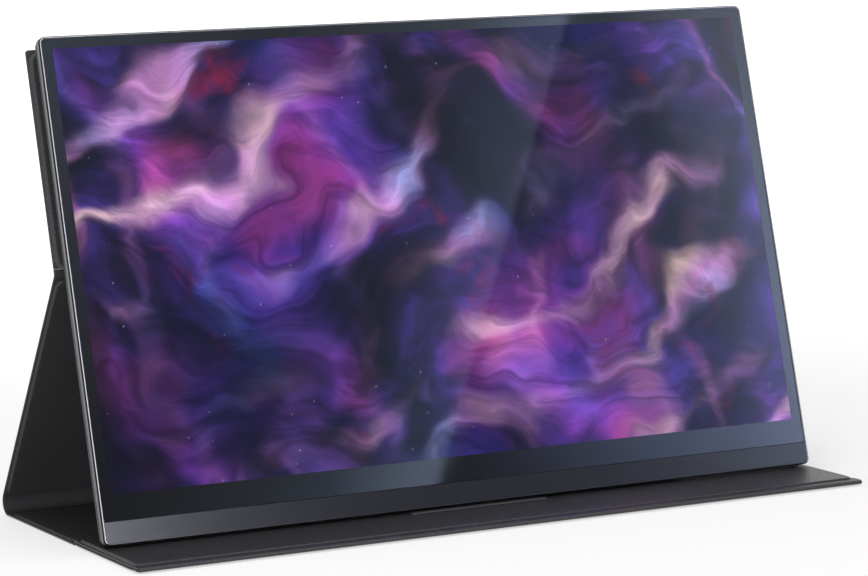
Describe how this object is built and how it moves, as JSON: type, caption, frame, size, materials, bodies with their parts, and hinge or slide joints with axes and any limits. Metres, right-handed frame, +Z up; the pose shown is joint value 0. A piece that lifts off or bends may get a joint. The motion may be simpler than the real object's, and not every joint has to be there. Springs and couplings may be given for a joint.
{
  "type": "portable monitor with cover",
  "caption": "Slim flat display held on a folded leather cover that makes its stand, with a flap under the base, side sockets and two side keys.",
  "frame": {"origin": "on the table, at the middle of the object's footprint, flap folded under the base", "axes": "+Z up, the screen faces -Y and leans back, +X to the viewer's right along the screen"},
  "size_m": [0.36, 0.1586, 0.2175],
  "materials": {
    "cover_glass": "polished",
    "bezel_print": "gloss black",
    "chin_metal": "satin anodised",
    "frame_metal": "anodised with polished chamfers",
    "screen": "lit picture",
    "optical_film": "matt film",
    "acrylic": "clear moulded",
    "circuit_board": "solder mask",
    "flat_cable": "polyimide film",
    "bright_steel": "pressed sheet",
    "black_plastic": "moulded",
    "rear_plastic": "fine sand-blasted",
    "wire": "satin",
    "key_metal": "satin anodised",
    "outer_leather": "cross-hatch grain",
    "inner_leather": "fine grain",
    "fibre_board": "raw board"
  },
  "bodies": {
    "base": {"base_skin": "outer_leather", "base_rear_board": "fibre_board", "base_front_board": "fibre_board", "base_lining": "inner_leather", "stop_bar": "inner_leather", "base_magnets": "bright_steel", "rear_bend": "outer_leather", "front_fold": "inner_leather"},
    "brace": {"brace_skin": "outer_leather", "brace_board": "fibre_board", "brace_lining": "inner_leather", "top_crease": "outer_leather"},
    "holder": {"pad_wrap": "inner_leather", "pad_block": "fibre_board", "pad_magnets": "bright_steel", "back_board": "fibre_board", "back_skin": "outer_leather"},
    "display": {"cover_glass": "cover_glass", "chin_strip": "chin_metal", "mid_frame": "frame_metal", "bezel_gasket": "bezel_print", "lcd_cell": "screen", "diffuser_sheets": "optical_film", "light_guide": "acrylic", "reflector_sheet": "optical_film", "led_bar": "optical_film", "panel_chassis": "bright_steel", "panel_board": "circuit_board", "display_cable": "flat_cable", "driver_board": "circuit_board", "board_shield": "bright_steel", "usb_c_ports": "bright_steel", "mini_hdmi_port": "bright_steel", "audio_jack": "black_plastic", "key_switches": "bright_steel", "speakers": "black_plastic", "speaker_wires": "wire", "steel_plates": "bright_steel", "rear_cover": "rear_plastic", "cover_screws": "bright_steel", "board_screws": "bright_steel"},
    "flap": {"flap_skin": "outer_leather", "flap_board": "fibre_board", "flap_lining": "inner_leather"},
    "power_button": {"power_button": "key_metal"},
    "menu_lever": {"menu_lever": "key_metal"}
  },
  "joints": [
    {"name": "brace_fold", "type": "hinge", "parent": "base", "child": "brace", "pos_m": [0, 0.07859, 0.0032], "axis": [-1, 0, 0], "range_deg": [0, 124.42], "deforming": ["rear_bend"]},
    {"name": "holder_fold", "type": "hinge", "parent": "brace", "child": "holder", "pos_m": [0, 0.00517, 0.11583], "axis": [-1, 0, 0], "range_deg": [-49.47, 0], "deforming": ["top_crease"]},
    {"name": "display_release", "type": "slide", "parent": "holder", "child": "display", "axis": [0, -0.9659, 0.2588], "range_m": [0, 0.05]},
    {"name": "flap_fold", "type": "hinge", "parent": "base", "child": "flap", "pos_m": [0, -0.07838, 0.0016], "axis": [-1, 0, 0], "range_deg": [0, 180], "deforming": ["front_fold"]},
    {"name": "power_press", "type": "slide", "parent": "display", "child": "power_button", "axis": [-1, 0, 0], "range_m": [0, 0.00035], "stiffness_N_per_m": 300, "springref_m": -0.002},
    {"name": "menu_rock", "type": "hinge", "parent": "display", "child": "menu_lever", "pos_m": [0.1762, -0.01393, 0.08493], "axis": [0, 0.9659, -0.2588], "range_deg": [-3, 3], "stiffness_Nm_per_rad": 0.05}
  ],
  "couplings": [
    {"joint": "holder_fold", "follows": "brace_fold", "ratio": -0.39742}
  ]
}
